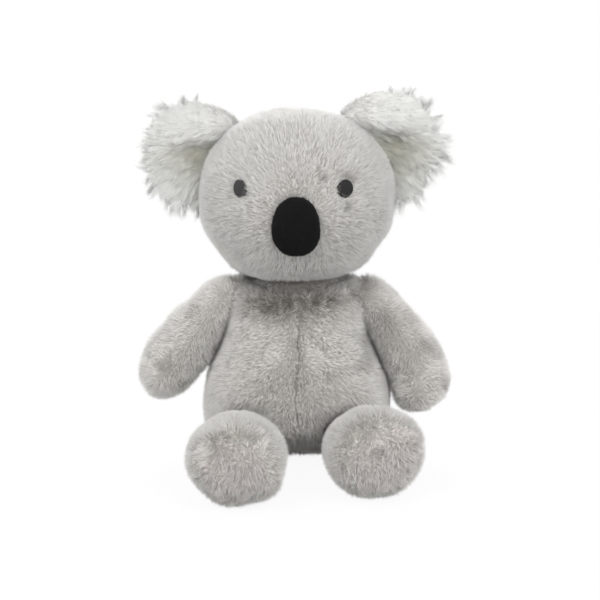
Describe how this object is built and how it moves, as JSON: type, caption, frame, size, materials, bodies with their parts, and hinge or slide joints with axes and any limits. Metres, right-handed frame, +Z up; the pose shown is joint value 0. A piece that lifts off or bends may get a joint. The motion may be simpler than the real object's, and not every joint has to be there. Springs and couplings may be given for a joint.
{
  "type": "plush koala",
  "caption": "Seated plush koala toy with an upright round head, cupped fluffy ears, a big oval velvet nose, hanging arms and forward legs, all soft sewn panels over stuffing.",
  "frame": {"origin": "middle of the flat seat base, where the toy rests on the floor", "axes": "+Z up, the toy faces -Y, its own left side is +X"},
  "size_m": [0.2129, 0.1987, 0.2455],
  "materials": {
    "plush_light": "short pale grey plush pile",
    "plush_grey": "short mottled grey plush pile",
    "ear_fur": "long white-grey fur",
    "nose_velvet": "black short-pile velvet",
    "eye_thread": "dark grey satin-stitch embroidery",
    "stuffing": "white polyester fibre filling",
    "bean_cloth": "plain woven cloth"
  },
  "bodies": {
    "torso": {"tummy_left": "plush_grey", "tummy_right": "plush_grey", "back_left": "plush_grey", "back_right": "plush_grey", "seat_base": "plush_grey", "torso_filling": "stuffing", "bean_bag": "bean_cloth"},
    "neck": {"neck_filling": "stuffing"},
    "head": {"face_left": "plush_light", "face_right": "plush_light", "head_back_left": "plush_light", "head_back_right": "plush_light", "head_filling": "stuffing", "nose_cover": "nose_velvet", "nose_pad": "stuffing", "eye_left": "eye_thread", "eye_right": "eye_thread"},
    "ear_left": {"ear_left_back": "plush_light", "ear_left_lining": "ear_fur"},
    "ear_right": {"ear_right_back": "plush_light", "ear_right_lining": "ear_fur"},
    "arm_left": {"arm_left_front": "plush_grey", "arm_left_rear": "plush_grey", "arm_left_filling": "stuffing"},
    "arm_right": {"arm_right_front": "plush_grey", "arm_right_rear": "plush_grey", "arm_right_filling": "stuffing"},
    "leg_left": {"leg_left_outer": "plush_grey", "leg_left_inner": "plush_grey", "leg_left_sole": "plush_grey", "leg_left_filling": "stuffing"},
    "leg_right": {"leg_right_outer": "plush_grey", "leg_right_inner": "plush_grey", "leg_right_sole": "plush_grey", "leg_right_filling": "stuffing"}
  },
  "joints": [
    {"name": "head_turn", "type": "hinge", "parent": "torso", "child": "neck", "pos_m": [0, 0, 0.123], "axis": [0, 0, 1], "range_deg": [-30, 30], "stiffness_Nm_per_rad": 0.35},
    {"name": "head_nod", "type": "hinge", "parent": "neck", "child": "head", "pos_m": [0, 0, 0.123], "axis": [1, 0, 0], "range_deg": [-14, 14], "stiffness_Nm_per_rad": 0.45},
    {"name": "ear_left_fold", "type": "hinge", "parent": "head", "child": "ear_left", "pos_m": [0.0476, 0.004, 0.1995], "axis": [0.4972, 0, -0.8677], "range_deg": [-7, 7], "stiffness_Nm_per_rad": 0.03},
    {"name": "ear_right_fold", "type": "hinge", "parent": "head", "child": "ear_right", "pos_m": [-0.05242, 0.004, 0.19725], "axis": [-0.4179, 0, -0.9085], "range_deg": [-7, 7], "stiffness_Nm_per_rad": 0.03},
    {"name": "arm_left_swing", "type": "hinge", "parent": "torso", "child": "arm_left", "pos_m": [0.05102, -0.004, 0.106], "axis": [-1, 0, 0], "range_deg": [-40, 85]},
    {"name": "arm_right_swing", "type": "hinge", "parent": "torso", "child": "arm_right", "pos_m": [-0.05102, -0.004, 0.106], "axis": [-1, 0, 0], "range_deg": [-40, 85]},
    {"name": "leg_left_swing", "type": "hinge", "parent": "torso", "child": "leg_left", "pos_m": [0.035, -0.04224, 0.022], "axis": [-1, 0, 0], "range_deg": [-18, 20]},
    {"name": "leg_right_swing", "type": "hinge", "parent": "torso", "child": "leg_right", "pos_m": [-0.035, -0.04224, 0.022], "axis": [-1, 0, 0], "range_deg": [-18, 20]}
  ]
}
